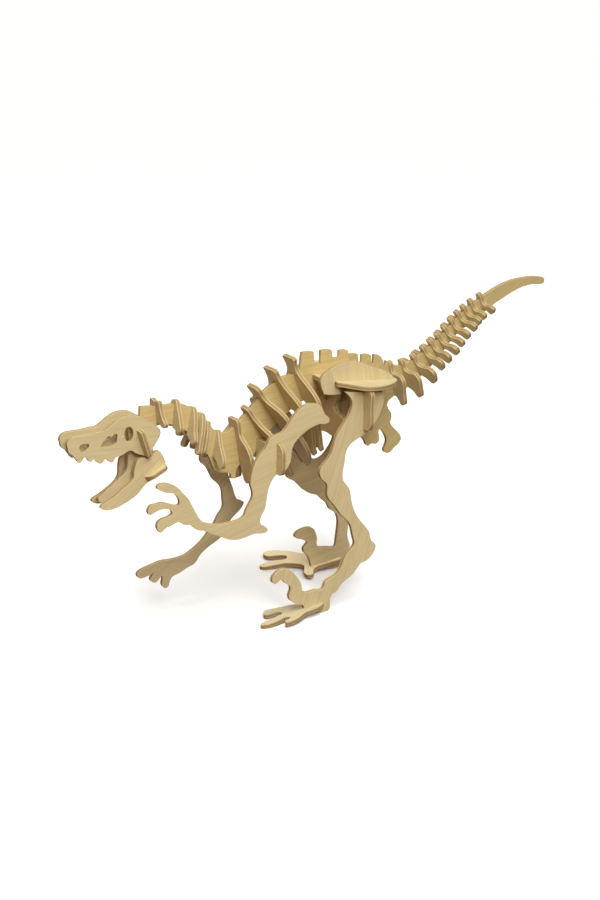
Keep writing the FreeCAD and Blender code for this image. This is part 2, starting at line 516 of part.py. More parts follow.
# ---------------------------------------------------------------- legs
left_leg_pts = [
    (15.7, 153.6, 1), (26.7, 152.6, 1), (45.2, 150.0, 1), (46.1, 144.0),
    (43.8, 136.7), (39.9, 129.9), (35.2, 125.0), (30.4, 122.0),
    (24.1, 119.5), (19.3, 116.6), (16.4, 112.0), (15.4, 105.5),
    (14.0, 98.7), (14.6, 92.6), (18.6, 87.0), (20.8, 79.0), (25.2, 66.0),
    (32.4, 56.4), (36.2, 50.2), (38.0, 44.6), (41.2, 41.0), (40.6, 37.0),
    (37.8, 33.4), (34.6, 31.0), (29.4, 29.6), (24.6, 24.6), (17.3, 19.9),
    (12.4, 16.4), (9.6, 13.2), (5.8, 11.6), (4.4, 7.8), (4.3, 2.4),
    (2.2, 0.0, 1), (-2.6, 0.0, 1), (-8.6, 1.6), (-15.6, 4.2, 1),
    (-16.4, 7.4, 1), (-17.2, 9.0), (-21.1, 10.0), (-24.4, 12.2),
    (-27.4, 15.1), (-28.1, 18.2), (-27.0, 21.5), (-26.8, 24.2),
    (-28.4, 26.2), (-31.0, 28.0), (-32.9, 30.4), (-34.9, 31.0),
    (-36.8, 29.7), (-38.6, 29.2), (-40.4, 30.2), (-41.0, 32.6),
    (-39.0, 36.0), (-35.6, 38.2), (-31.6, 38.6), (-28.1, 37.2),
    (-25.0, 34.6), (-22.4, 31.4), (-19.6, 27.2), (-18.2, 23.4),
    (-17.4, 19.4), (-15.2, 17.8), (-10.5, 17.5), (-6.9, 17.8),
    (-3.9, 17.0), (-1.2, 17.6), (0.4, 21.1), (3.7, 23.5), (8.9, 25.3),
    (12.3, 28.4), (14.7, 33.0), (17.1, 37.6), (20.9, 41.4), (23.6, 44.0),
    (22.8, 50.4), (20.0, 60.4), (13.0, 68.3), (7.1, 76.5), (1.6, 85.6),
    (1.8, 89.0), (1.4, 92.4), (-2.2, 96.2), (-3.8, 102.6), (0.4, 107.6),
    (4.4, 112.5), (6.7, 118.7), (8.6, 123.7), (12.1, 129.1), (16.6, 134.6),
    (19.7, 139.8), (21.0, 145.4), (18.6, 150.6)]
right_leg_pts = [
    (16.0, 153.4, 1), (30.0, 152.2, 1), (45.2, 150.0, 1), (46.6, 144.0),
    (47.2, 135.0), (48.8, 126.0), (52.0, 117.0), (56.0, 108.0),
    (58.4, 99.0), (56.6, 91.0), (52.6, 84.6), (50.6, 78.0), (49.6, 70.0),
    (51.0, 61.0), (54.0, 52.0), (57.6, 43.0), (59.2, 33.3), (58.4, 25.6),
    (59.4, 19.4), (60.5, 15.2), (58.9, 11.8), (56.8, 8.4), (55.7, 3.6),
    (54.0, 0.0, 1), (47.6, 0.0, 1), (42.0, 1.0), (35.0, 2.6), (29.4, 3.4),
    (27.6, 4.4, 1), (27.0, 7.6), (25.8, 11.4), (23.4, 15.6),
    (20.9, 19.0), (21.0, 21.4), (22.8, 23.4), (24.1, 25.0), (21.9, 27.0),
    (18.6, 28.7), (15.4, 29.8), (13.6, 31.6), (14.6, 33.9), (18.4, 35.8),
    (22.8, 36.5), (27.4, 35.8), (30.0, 33.4), (31.3, 30.0), (32.2, 26.0),
    (31.8, 22.4), (33.6, 19.9), (38.0, 18.6), (43.3, 17.5), (47.6, 17.2),
    (48.6, 20.4), (49.2, 25.8), (50.0, 31.9), (49.8, 39.2), (47.8, 43.3),
    (42.8, 47.3), (40.8, 51.4), (37.2, 54.9), (33.2, 58.9), (26.1, 62.3),
    (18.6, 68.3), (13.2, 73.7), (7.6, 77.8), (6.8, 81.4), (7.0, 86.5),
    (8.5, 91.5), (12.0, 95.5), (17.0, 96.5), (22.5, 94.0), (26.5, 89.5),
    (30.0, 87.2),
    (36.0, 88.2), (41.0, 92.6), (45.0, 98.6), (46.2, 103.6), (44.0, 109.6),
    (38.6, 117.6), (31.6, 127.6), (24.6, 138.6), (18.8, 148.4)]
leg_lap = {"left_leg": (left_leg_pts, -Y_LEG),
           "right_leg": (right_leg_pts, Y_LEG)}
TOE_TILT = 5.4                       # toe plates, front down, degrees
ta = math.radians(TOE_TILT)
tx = V(math.cos(ta), 0, math.sin(ta))  # along the tilted toe plate, rear up
# Toe plates slide from the front into a slot of the foot.
left_toe_o = V(-1.2, 0, 6.1)
right_toe_o = V(45.0, 0, 5.7)
left_leg = side(left_leg_pts, -Y_LEG)
right_leg = side(right_leg_pts, Y_LEG)
for y, which in ((-Y_LEG, "left"), (Y_LEG, "right")):
    cutter = block(V(X_HIP, y, 0), EX, EZ, -SLOT / 2, SLOT / 2,
                   HIP_LAP, 170.0, PLY)
    if which == "left":
        left_leg = left_leg.cut(cutter)
    else:
        right_leg = right_leg.cut(cutter)
LEFT_LAP = -9.0                      # rear end of the slot in the left foot
RIGHT_LAP = 39.5                     # rear end of the slot in the right foot
left_leg = left_leg.cut(block(left_toe_o + V(0, -Y_LEG, 0), tx, EY, -60.0,
                              LEFT_LAP - left_toe_o.x, -PLY, PLY, SLOT / 2))
right_leg = right_leg.cut(block(right_toe_o + V(0, Y_LEG, 0), tx, EY, -60.0,
                                RIGHT_LAP - right_toe_o.x, -PLY, PLY,
                                SLOT / 2))
ground = Part.makeBox(400, 400, 40, V(-200, -200, -40))
solids["left_leg"] = left_leg.cut(ground)
solids["right_leg"] = right_leg.cut(ground)

# Left toe plate: three toes, outline as (x, y) seen from above.
left_toe_pts = [
    (-37.4, -17.2), (-40.6, -19.4), (-41.2, -22.8), (-37.6, -24.0),
    (-31.8, -25.4), (-30.6, -27.8), (-35.6, -29.8), (-42.6, -31.0),
    (-48.8, -31.8), (-50.8, -33.6), (-47.6, -36.0), (-42.1, -36.4),
    (-36.0, -35.6), (-30.6, -35.4), (-29.6, -37.0), (-32.2, -38.6),
    (-35.4, -39.8), (-35.8, -41.6), (-33.2, -42.4), (-27.6, -41.8),
    (-23.4, -40.2), (-19.2, -38.0), (-14.9, -37.1), (-9.5, -37.0),
    (-4.5, -35.5), (-0.7, -32.4), (-0.8, -29.4), (-5.0, -26.6),
    (-13.3, -25.2), (-18.0, -22.4), (-24.3, -20.4), (-31.1, -18.6)]
right_toe_pts = [
    (11.2, 70.1), (13.2, 74.4), (17.6, 74.4), (23.7, 69.6), (29.3, 62.8),
    (33.2, 55.8), (37.9, 49.8), (43.6, 43.6), (49.8, 36.7), (52.6, 31.2),
    (51.0, 27.4), (46.0, 26.9), (39.0, 27.3), (31.4, 27.4), (26.8, 24.8),
    (23.8, 20.6), (21.4, 18.6), (18.6, 19.8), (18.4, 24.2), (22.0, 30.4),
    (24.6, 36.2), (21.8, 41.8), (17.2, 46.6), (11.4, 49.2), (5.4, 50.8),
    (0.0, 53.4), (-0.7, 56.2), (2.7, 58.0), (8.9, 57.8), (15.6, 55.2),
    (21.0, 54.2), (23.0, 57.0), (20.1, 62.0), (14.7, 65.2)]
k = 1.0 / math.cos(ta)
lt = [((q[0] - left_toe_o.x) * k, q[1]) for q in left_toe_pts]
left_toes = plate(lt, V(left_toe_o.x, 0, left_toe_o.z), tx, EY)
left_toes = left_toes.cut(block(V(left_toe_o.x, -Y_LEG, left_toe_o.z), tx, EY,
                                LEFT_LAP - left_toe_o.x, 40.0,
                                -SLOT / 2, SLOT / 2, PLY))
rt = [((q[0] - right_toe_o.x) * k, q[1]) for q in right_toe_pts]
right_toes = plate(rt, right_toe_o, tx, EY)
right_toes = right_toes.cut(block(V(right_toe_o.x, Y_LEG, right_toe_o.z), tx,
                                  EY, RIGHT_LAP - right_toe_o.x, 60.0,
                                  -SLOT / 2, SLOT / 2, PLY))
solids["left_toes"] = left_toes.cut(ground)
solids["right_toes"] = right_toes.cut(ground)

# ---------------------------------------------------------------- arms
left_arm_pts = [
    (-4.9, 147.9), (-1.3, 146.2), (0.9, 142.4), (2.6, 139.3), (5.2, 136.9),
    (5.6, 134.4), (2.7, 133.1), (-1.8, 133.6), (-5.8, 132.9), (-11.0, 131.0),
    (-15.6, 128.3), (-19.4, 125.4), (-21.9, 122.4), (-23.3, 118.6),
    (-24.0, 112.4), (-26.3, 107.8), (-29.4, 104.9), (-32.0, 103.9),
    (-35.6, 103.6), (-37.8, 101.6), (-40.1, 97.6), (-42.3, 89.5),
    (-44.6, 80.6), (-47.5, 75.4), (-46.2, 71.2), (-42.8, 69.0),
    (-42.0, 66.5), (-44.6, 65.4), (-51.0, 66.2), (-57.8, 65.2),
    (-65.0, 64.7), (-70.2, 65.8), (-74.5, 67.9), (-79.6, 70.5),
    (-84.7, 73.3), (-88.9, 75.6), (-93.9, 77.3), (-96.2, 79.3),
    (-98.5, 81.5), (-103.6, 82.9), (-106.3, 84.9), (-108.7, 84.9),
    (-112.2, 83.7), (-115.6, 82.8), (-117.9, 81.2), (-119.8, 80.6),
    (-121.3, 82.3), (-121.9, 84.9), (-121.0, 87.5), (-118.8, 89.0),
    (-115.5, 89.7), (-112.7, 90.4), (-111.0, 91.6), (-111.4, 93.2),
    (-113.5, 95.0), (-116.7, 95.9), (-120.9, 95.4), (-124.4, 94.2),
    (-126.4, 93.6), (-127.6, 95.0), (-127.2, 98.0), (-125.3, 99.9),
    (-122.1, 100.0), (-118.7, 100.3), (-115.2, 99.5), (-111.8, 97.9),
    (-108.3, 96.6), (-106.2, 96.7), (-105.7, 98.8), (-106.8, 101.7),
    (-108.9, 104.3), (-112.2, 105.7), (-115.7, 106.6), (-118.6, 108.4),
    (-120.9, 110.6), (-120.1, 112.1), (-117.6, 112.8), (-114.1, 112.4),
    (-110.0, 110.7), (-106.1, 107.8), (-103.2, 104.2), (-99.8, 100.1),
    (-97.0, 94.8), (-94.4, 89.4), (-91.4, 84.0), (-86.6, 80.2),
    (-81.6, 78.6), (-77.1, 77.7), (-70.7, 77.5), (-65.5, 77.9),
    (-61.6, 78.7), (-59.2, 80.4), (-57.9, 83.2), (-55.8, 87.0),
    (-53.7, 90.2), (-52.8, 93.5), (-53.4, 97.3), (-54.4, 101.4),
    (-54.0, 105.4), (-52.6, 110.4), (-51.0, 114.2), (-48.8, 117.6),
    (-45.9, 120.8), (-43.1, 123.3), (-41.3, 126.3), (-39.5, 129.3),
    (-35.8, 131.0), (-30.4, 132.2), (-27.1, 134.9), (-23.9, 139.1),
    (-20.9, 142.6), (-17.9, 145.2), (-14.1, 147.6), (-9.5, 148.7)]
right_arm_pts = [
    (-62.2, 107.4), (-62.9, 104.0), (-61.8, 101.2), (-59.6, 99.2),
    (-57.4, 96.2), (-55.7, 92.4), (-53.5, 88.2), (-50.1, 84.7),
    (-47.7, 81.6), (-46.7, 78.2), (-46.3, 72.4), (-46.2, 67.2),
    (-47.6, 64.4), (-49.7, 62.0), (-51.5, 59.0), (-53.6, 55.6),
    (-56.8, 52.2), (-60.0, 48.4), (-63.1, 45.2), (-67.0, 42.3),
    (-71.7, 39.5), (-76.4, 37.3), (-81.7, 36.6), (-87.8, 36.5),
    (-93.8, 36.9), (-99.1, 36.0), (-104.3, 34.9), (-109.3, 33.6),
    (-112.3, 31.3), (-111.8, 28.7), (-109.0, 27.4), (-104.6, 28.2),
    (-101.4, 29.2), (-99.9, 30.0), (-101.4, 27.6), (-102.8, 25.0),
    (-101.0, 22.7), (-98.0, 22.6), (-95.9, 24.6), (-94.3, 26.0),
    (-93.7, 24.4), (-94.2, 21.3), (-93.5, 17.9), (-91.4, 16.4),
    (-89.3, 17.8), (-88.0, 21.6), (-85.7, 24.0), (-82.1, 25.0),
    (-78.2, 26.4), (-74.2, 28.1), (-70.1, 29.4), (-67.4, 31.5),
    (-65.6, 34.2), (-62.5, 37.1), (-58.6, 39.7), (-53.9, 42.0),
    (-50.2, 43.9), (-47.1, 46.4), (-43.4, 51.6), (-40.5, 56.4),
    (-37.1, 59.3), (-33.8, 61.8), (-31.0, 64.7), (-30.0, 67.3),
    (-32.2, 69.0), (-35.0, 70.6), (-36.9, 74.2), (-38.4, 79.3),
    (-40.4, 85.2), (-41.8, 91.0), (-40.4, 97.0), (-37.0, 101.6),
    (-32.0, 103.7), (-28.6, 105.6), (-25.6, 110.0), (-23.6, 116.0),
    (-20.6, 120.6), (-16.4, 124.6), (-12.6, 127.2), (-8.4, 129.8),
    (-8.0, 133.6), (-11.6, 136.4), (-16.6, 136.2), (-21.6, 133.6),
    (-26.4, 129.9), (-31.6, 127.7), (-37.0, 126.6), (-40.6, 124.0),
    (-43.6, 120.8), (-47.4, 118.4), (-52.0, 116.4), (-57.0, 113.6),
    (-60.4, 110.6)]
SHOULDER_TOP, SHOULDER_LOW = 125.5, 104.0
ARM_LAP = 114.0                      # half lap height with the arms
shoulder_half = [
    (0, 122.0, 1), (20.0, 122.0, 1), (23.0, 124.4), (26.0, SHOULDER_TOP),
    (32.6, SHOULDER_TOP - 0.6), (35.2, 121.4), (35.4, 115.0),
    (35.0, 108.4), (33.2, 105.0), (29.6, SHOULDER_LOW + 0.2),
    (22.0, 105.6), (12.0, 107.4), (0, 107.8)]
shoulder = across(mirror_y(shoulder_half), X_SHOULDER)
SHOULDER_LAP = 119.0                 # half lap height with the spine
shoulder = shoulder.cut(block(V(X_SHOULDER, 0, 0), EY, EZ, -SLOT / 2,
                              SLOT / 2, SHOULDER_LAP, 150.0, PLY))
front_spine = front_spine.cut(block(V(X_SHOULDER, 0, 0), EX, EZ, -SLOT / 2,
                                    SLOT / 2, 100.0, SHOULDER_LAP, PLY))
for y in (-Y_ARM, Y_ARM):
    shoulder = shoulder.cut(block(V(X_SHOULDER, 0, 0), EY, EZ, y - SLOT / 2,
                                  y + SLOT / 2, ARM_LAP, 150.0, PLY))
solids["left_arm"] = side(left_arm_pts, -Y_ARM).cut(
    block(V(X_SHOULDER, -Y_ARM, 0), EX, EZ, -SLOT / 2, SLOT / 2,
          90.0, ARM_LAP, PLY))
solids["right_arm"] = side(right_arm_pts, Y_ARM).cut(
    block(V(X_SHOULDER, Y_ARM, 0), EX, EZ, -SLOT / 2, SLOT / 2,
          90.0, ARM_LAP, PLY))
solids["shoulder_crosspiece"] = shoulder

solids["front_spine"] = front_spine
solids["tail_spine"] = tail_spine

# ---------------------------------------------------------------- output
# The whole skeleton is moved so that the origin is on the ground, under the
# middle of its bounding box.
box = None
for s in solids.values():
    b = s.optimalBoundingBox(False, False)
    if box is None:
        box = [b.XMin, b.XMax, b.YMin, b.YMax, b.ZMin, b.ZMax]
    else:
        box = [min(box[0], b.XMin), max(box[1], b.XMax),
               min(box[2], b.YMin), max(box[3], b.YMax),
               min(box[4], b.ZMin), max(box[5], b.ZMax)]
print("raw box", [round(v, 3) for v in box])
shift = V(-(box[0] + box[1]) / 2, -(box[2] + box[3]) / 2, 0)
print("shift", [round(v, 4) for v in shift])

os.makedirs("parts", exist_ok=True)
for name, s in solids.items():
    s.translate(shift)
    n = len(s.Solids)
    if n == 1:
        s = s.Solids[0]
    print(name, "solids", n, "valid", s.isValid(), "volume",
          round(s.Volume, 1))
    s.exportStep("parts/%s.step" % name)
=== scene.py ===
import json
import math
import random

import bmesh
import bpy
import numpy as np
from mathutils import Matrix, Vector


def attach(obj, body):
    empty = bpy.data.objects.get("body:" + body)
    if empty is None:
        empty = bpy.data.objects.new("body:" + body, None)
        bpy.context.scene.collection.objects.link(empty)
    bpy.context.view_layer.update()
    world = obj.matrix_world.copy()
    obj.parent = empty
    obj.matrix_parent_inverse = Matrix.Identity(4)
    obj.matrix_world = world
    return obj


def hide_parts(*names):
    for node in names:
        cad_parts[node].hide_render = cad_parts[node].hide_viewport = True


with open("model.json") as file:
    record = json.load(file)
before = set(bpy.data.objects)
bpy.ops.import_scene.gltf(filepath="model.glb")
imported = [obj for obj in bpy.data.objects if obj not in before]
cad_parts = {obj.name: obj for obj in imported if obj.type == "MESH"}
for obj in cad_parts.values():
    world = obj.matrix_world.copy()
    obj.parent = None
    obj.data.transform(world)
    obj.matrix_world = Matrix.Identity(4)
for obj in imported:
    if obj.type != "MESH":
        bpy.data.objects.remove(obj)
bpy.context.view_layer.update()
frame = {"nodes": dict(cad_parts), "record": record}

SCENE = bpy.context.scene
NODES = frame["nodes"]
BODY = {n: body for body, members in frame["record"]["behaviour"]["bodies"].items() for n in members}

# ---------------------------------------------------------------- camera
cam_data = bpy.data.cameras.new("camera")
cam_data.sensor_width = 36.0
cam_data.lens = 18.0 / (450.0 / 1470.588)
cam_data.clip_start, cam_data.clip_end = 0.01, 30.0
cam = bpy.data.objects.new("camera", cam_data)
SCENE.collection.objects.link(cam)
cam.location = (-0.507827, -0.831407, 0.416487)
cam.rotation_mode = "QUATERNION"
cam.rotation_quaternion = (Vector((-0.017997, -0.016191, 0.10747)) - cam.location).to_track_quat("-Z", "Y")
SCENE.camera = cam

# ---------------------------------------------------------------- plywood
BEVEL = 0.00016      # softened arris of every cut outline
PLY = 0.003
GLUE_LINE = 0.52     # mm from the middle of the board to the glue between core and face veneer


def plate_axes(name):
    """Middle point, grain direction and board normal of a plate, from its own mesh."""
    me = NODES[name].data
    co = np.empty(len(me.vertices) * 3)
    me.vertices.foreach_get("co", co)
    co = co.reshape(-1, 3)
    nrm = np.empty(len(me.polygons) * 3)
    me.polygons.foreach_get("normal", nrm)
    nrm = nrm.reshape(-1, 3)
    area = np.empty(len(me.polygons))
    me.polygons.foreach_get("area", area)
    value, vector = np.linalg.eigh((nrm * area[:, None]).T @ nrm)
    n = vector[:, 2]
    n = n * np.sign(n[np.argmax(abs(n))])
    across = co @ n
    mid = (across.min() + across.max()) / 2
    flat = co - np.outer(across, n)
    centre = (flat.min(0) + flat.max(0)) / 2
    value, vector = np.linalg.eigh(np.cov((flat - flat.mean(0)).T))
    g = vector[:, 2]
    g = g - n * (g @ n)
    g /= np.linalg.norm(g)
    g = g * np.sign(g[np.argmax(abs(g))])
    return Vector(centre + n * mid), Vector(g), Vector(n)


def node(tree, kind, x, y, **values):
    new = tree.nodes.new(kind)
    new.location = (x, y)
    for key, value in values.items():
        setattr(new, key, value)
    return new


def ramp(tree, x, y, stops, source):
    new = node(tree, "ShaderNodeValToRGB", x, y)
    while len(new.color_ramp.elements) < len(stops):
        new.color_ramp.elements.new(0.5)
    for element, (at, colour) in zip(new.color_ramp.elements, stops):
        element.position = at
        element.color = colour if len(colour) == 4 else (*colour, 1)
    tree.links.new(source, new.inputs[0])
    return new.outputs[0]


def maths(tree, x, y, operation, a, b=None, c=None, clamp=False):
    new = node(tree, "ShaderNodeMath", x, y, operation=operation, use_clamp=clamp)
    for i, value in enumerate((a, b, c)):
        if value is None:
            continue
        if isinstance(value, (int, float)):
            new.inputs[i].default_value = value
        else:
            tree.links.new(value, new.inputs[i])
    return new.outputs[0]


def vector_scale(tree, x, y, source, scale):
    new = node(tree, "ShaderNodeVectorMath", x, y, operation="MULTIPLY")
    tree.links.new(source, new.inputs[0])
    new.inputs[1].default_value = scale
    return new.outputs[0]


def noise(tree, x, y, source, scale, detail=3.0, rough=0.5, distort=0.0):
    new = node(tree, "ShaderNodeTexNoise", x, y)
    tree.links.new(vector_scale(tree, x - 180, y, source, scale), new.inputs["Vector"])
    new.inputs["Scale"].default_value = 1.0
    new.inputs["Detail"].default_value = detail
    new.inputs["Roughness"].default_value = rough
    new.inputs["Distortion"].default_value = distort
    return new.outputs["Fac"]


def mix(tree, x, y, factor, a, b, blend="MIX"):
    new = node(tree, "ShaderNodeMix", x, y, data_type="RGBA", blend_type=blend)
    for socket, value in ((new.inputs[0], factor), (new.inputs[6], a), (new.inputs[7], b)):
        if isinstance(value, (int, float)):
            socket.default_value = value
        elif isinstance(value, tuple):
            socket.default_value = value if len(value) == 4 else (*value, 1)
        else:
            tree.links.new(value, socket)
    return new.outputs[2]


# colour factor per board: front_spine is a warmer tone of its own; the rest are painted light and shade: painted
# shade darkens tail_spine, right_arm, left_toes, hip_shelf, pelvis_crosspiece and jaw_right, painted light
# brightens right_toes and the tail vertebrae
TINT_AND_PAINTED_LIGHT = {
    "front_spine": (1.00, 0.92, 0.74),
    "tail_spine": (0.82, 0.79, 0.64),
    "right_arm": (0.90, 0.91, 0.95),
    "right_toes": (1.24, 1.29, 1.40),
    "left_toes": (0.80, 0.83, 0.92),
    "hip_shelf": (0.95, 0.96, 0.98),
    "pelvis_crosspiece": (0.94, 0.80, 0.68),
    "jaw_right": (0.97, 0.89, 0.84),
}
# painted light: the tail vertebrae made paler, as if better lit
TINT_AND_PAINTED_LIGHT.update({"tail_vertebra_%d" % i: (1.16, 1.24, 1.36) for i in range(1, 13)})


def plywood(name):
    """Pale three-ply board: face veneer with its grain in the plate's plane, layered cut edges."""
    rnd = random.Random(name)
    centre, g, n = plate_axes(name)
    turn = rnd.choice((0, 0, 90, 12, -15, 78, -100)) + rnd.uniform(-5, 5)
    g = Matrix.Rotation(math.radians(turn), 3, n) @ g
    rows = Matrix((g, n.cross(g), n))
    mat = bpy.data.materials.new("plywood_" + name)
    mat.use_nodes = True
    t = mat.node_tree
    t.nodes.clear()
    out = node(t, "ShaderNodeOutputMaterial", 1800, 0)
    bsdf = node(t, "ShaderNodeBsdfPrincipled", 1500, 0)
    t.links.new(bsdf.outputs[0], out.inputs[0])
    coord = node(t, "ShaderNodeTexCoord", -1400, 0)
    place = node(t, "ShaderNodeMapping", -1200, 0, vector_type="POINT")
    place.inputs["Scale"].default_value = (1000, 1000, 1000)
    place.inputs["Rotation"].default_value = rows.to_euler("XYZ")
    at = -1000 * (rows @ centre)
    place.inputs["Location"].default_value = (at.x + rnd.uniform(-400, 400), at.y + rnd.uniform(-400, 400), at.z)
    t.links.new(coord.outputs["Object"], place.inputs["Vector"])
    p = place.outputs[0]                       # millimetres: along the grain, across it, through the board

    split = node(t, "ShaderNodeSeparateXYZ", -1000, 300)
    t.links.new(p, split.inputs[0])
    through = maths(t, -820, 300, "ABSOLUTE", split.outputs[2])

    facing = node(t, "ShaderNodeVectorMath", -1000, 500, operation="DOT_PRODUCT")
    t.links.new(coord.outputs["Normal"], facing.inputs[0])
    facing.inputs[1].default_value = n
    facing = maths(t, -820, 500, "ABSOLUTE", facing.outputs["Value"])
    cut = maths(t, -640, 500, "SUBTRACT", 1.0, maths(t, -640, 620, "MULTIPLY_ADD", facing, 1.6, -0.55, clamp=True))

    # face veneer
    tone = rnd.uniform(-1, 1)
    # the board's factor from the table above scales every face-veneer colour below; for most boards this paints
    # light or shade into the face
    tint_and_painted_light = TINT_AND_PAINTED_LIGHT.get(name, (1.0, 1.0, 1.0))
    wood = lambda r, g, b: (r * tint_and_painted_light[0], g * tint_and_painted_light[1], b * tint_and_painted_light[2])
    light = wood(0.600 + 0.02 * tone, 0.502 + 0.02 * tone, 0.282 + 0.015 * tone)
    deep = wood(0.535 + 0.02 * tone, 0.432 + 0.02 * tone, 0.232 + 0.015 * tone)
    pale = wood(0.680, 0.570, 0.340)
    streak = noise(t, -600, 100, p, (0.022, 0.55, 0.55), 4.0, 0.6, 0.35)
    face = ramp(t, -380, 100, ((0.30, deep), (0.52, light), (0.72, pale)), streak)
    bands = noise(t, -600, -150, p, (0.006, 0.085, 0.085), 2.0, 0.5, 0.6)
    bands = maths(t, -420, -150, "SINE", maths(t, -420, -250, "MULTIPLY", bands, 46.0))
    bands = ramp(t, -240, -150, ((0.0, (0, 0, 0)), (0.85, (0, 0, 0)), (1.0, (1, 1, 1))), bands)
    face = mix(t, -40, 60, maths(t, -200, -20, "MULTIPLY", bands, 0.28), face, wood(0.52, 0.385, 0.185))
    fibre = noise(t, -600, -400, p, (0.16, 3.4, 3.4), 3.0, 0.65)
    face = mix(t, 140, 60, maths(t, -40, -300, "MULTIPLY_ADD", fibre, 0.55, -0.12, clamp=True), face, wood(0.57, 0.435, 0.235))
    pores = noise(t, -600, -620, p, (0.9, 8.5, 8.5), 1.0, 0.4)
    pores = ramp(t, -380, -620, ((0.0, (1, 1, 1)), (0.27, (1, 1, 1)), (0.33, (0, 0, 0))), pores)
    face = mix(t, 320, 60, maths(t, 140, -500, "MULTIPLY", pores, 0.45), face, wood(0.36, 0.22, 0.10))
    blotch = noise(t, -600, -840, p, (0.045, 0.06, 0.06), 2.0, 0.5)
    face = mix(t, 500, 60, maths(t, 320, -700, "MULTIPLY_ADD", blotch, 0.7, -0.22, clamp=True), face, wood(0.68, 0.54, 0.31))

    # cut edge: two face veneers and a core that shows its end grain
    wobble = noise(t, -600, -1060, p, (0.09, 0.09, 0.0), 2.0, 0.5)
    depth = maths(t, -380, -1060, "ADD", through, maths(t, -500, -1200, "MULTIPLY_ADD", wobble, 0.24, -0.12))
    core = maths(t, -200, -1060, "SUBTRACT", 1.0, maths(t, -200, -1180, "SMOOTH_MIN", maths(t, -320, -1300, "MULTIPLY_ADD", depth, 9.0, -9.0 * GLUE_LINE, clamp=True), 1.0, 0.0))
    ends = noise(t, -600, -1400, p, (2.6, 2.6, 7.0), 2.0, 0.6)
    veneer = ramp(t, -380, -1400, ((0.35, (0.430, 0.320, 0.155)), (0.65, (0.570, 0.440, 0.225))), ends)
    heart = ramp(t, -380, -1600, ((0.35, (0.290, 0.190, 0.082)), (0.65, (0.405, 0.280, 0.130))), ends)
    edge = mix(t, -40, -1300, core, veneer, heart)
    glue = maths(t, -40, -1100, "COMPARE", depth, GLUE_LINE, 0.045)
    edge = mix(t, 140, -1300, maths(t, 140, -1100, "MULTIPLY", glue, 0.6), edge, (0.18, 0.100, 0.045))

    colour = mix(t, 900, 60, cut, face, edge)
    t.links.new(colour, bsdf.inputs["Base Color"])

    rough = maths(t, 900, -300, "MULTIPLY_ADD", fibre, 0.16, 0.54)
    rough = maths(t, 1080, -300, "MULTIPLY_ADD", cut, 0.18, rough, clamp=True)
    t.links.new(rough, bsdf.inputs["Roughness"])
    bsdf.inputs["Specular IOR Level"].default_value = 0.35
    bsdf.inputs["IOR"].default_value = 1.45

    height = maths(t, 700, -800, "MULTIPLY_ADD", fibre, 0.6, maths(t, 520, -800, "MULTIPLY", streak, 0.5))
    height = maths(t, 880, -800, "SUBTRACT", height, maths(t, 700, -950, "MULTIPLY", pores, 0.5))
    height = maths(t, 1060, -800, "ADD", height, maths(t, 880, -950, "MULTIPLY", maths(t, 700, -1080, "MULTIPLY", ends, cut), 1.1))
    bump = node(t, "ShaderNodeBump", 1260, -800)
    bump.inputs["Strength"].default_value = 0.55
    bump.inputs["Distance"].default_value = 0.00007
    t.links.new(height, bump.inputs["Height"])
    t.links.new(bump.outputs[0], bsdf.inputs["Normal"])
    return mat


def finish_plate(name):
    """The plate itself with softened arrises, in place of the crisp construction solid."""
    centre, g, n = plate_axes(name)
    bm = bmesh.new()
    bm.from_mesh(NODES[name].data)
    bmesh.ops.remove_doubles(bm, verts=bm.verts, dist=2e-6)
    bmesh.ops.dissolve_limit(bm, angle_limit=math.radians(0.05), use_dissolve_boundaries=False,
                             verts=bm.verts, edges=bm.edges, delimit=set())
    # fewer walls round the gentle curves
    upright = [e for e in bm.edges if len(e.link_faces) == 2
               and abs((e.verts[0].co - e.verts[1].co).normalized().dot(n)) > 0.999]
    is_upright = set(upright)
    spare, seen = [], set()
    for start in upright:
        if start in seen:
            continue
        seen.add(start)
        face, edge, kept, run = start.link_faces[0], start, start.link_faces[1].normal.copy(), 0.0
        while True:
            nxt = [e for e in face.edges if e in is_upright and e is not edge]
            if len(nxt) != 1 or nxt[0] in seen:
                break
            edge2 = nxt[0]
            run += (edge2.verts[0].co - edge.verts[0].co - n * (edge2.verts[0].co - edge.verts[0].co).dot(n)).length
            seen.add(edge2)
            other = [f for f in edge2.link_faces if f is not face]
            if len(other) != 1:
                break
            if face.normal.angle(other[0].normal, 9) < math.radians(6) and kept.angle(other[0].normal, 9) < math.radians(5) and run < 0.0011:
                spare.append(edge2)
            else:
                kept, run = other[0].normal.copy(), 0.0
            edge, face = edge2, other[0]
    if spare:
        bmesh.ops.dissolve_edges(bm, edges=spare, use_verts=True, use_face_split=False)
    sharp = [e for e in bm.edges if len(e.link_faces) == 2 and e.calc_face_angle(0) > math.radians(40)
             and abs((e.verts[0].co - e.verts[1].co).normalized().dot(n)) < 0.5]
    bmesh.ops.bevel(bm, geom=sharp, offset=BEVEL, offset_type="OFFSET", segments=2, profile=0.5,
                    affect="EDGES", clamp_overlap=False)
    # a corner left hanging between two faces folds back on itself
    for loose in [v for v in bm.verts if len(v.link_edges) == 2]:
        bmesh.utils.vert_collapse_edge(loose, loose.link_edges[0])
    me = bpy.data.meshes.new(name + "_board")
    bm.to_mesh(me)
    bm.free()
    me.validate()
    for poly in me.polygons:
        poly.use_smooth = True
    piece = bpy.data.objects.new(name + "_board", me)
    SCENE.collection.objects.link(piece)
    me.set_sharp_from_angle(angle=math.radians(50))
    wn = piece.modifiers.new("flat_faces", "WEIGHTED_NORMAL")
    wn.keep_sharp = True
    wn.weight = 100
    piece.data.materials.append(plywood(name))
    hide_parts(name)
    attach(piece, BODY[name])
    return piece


for name in sorted(NODES):
    finish_plate(name)

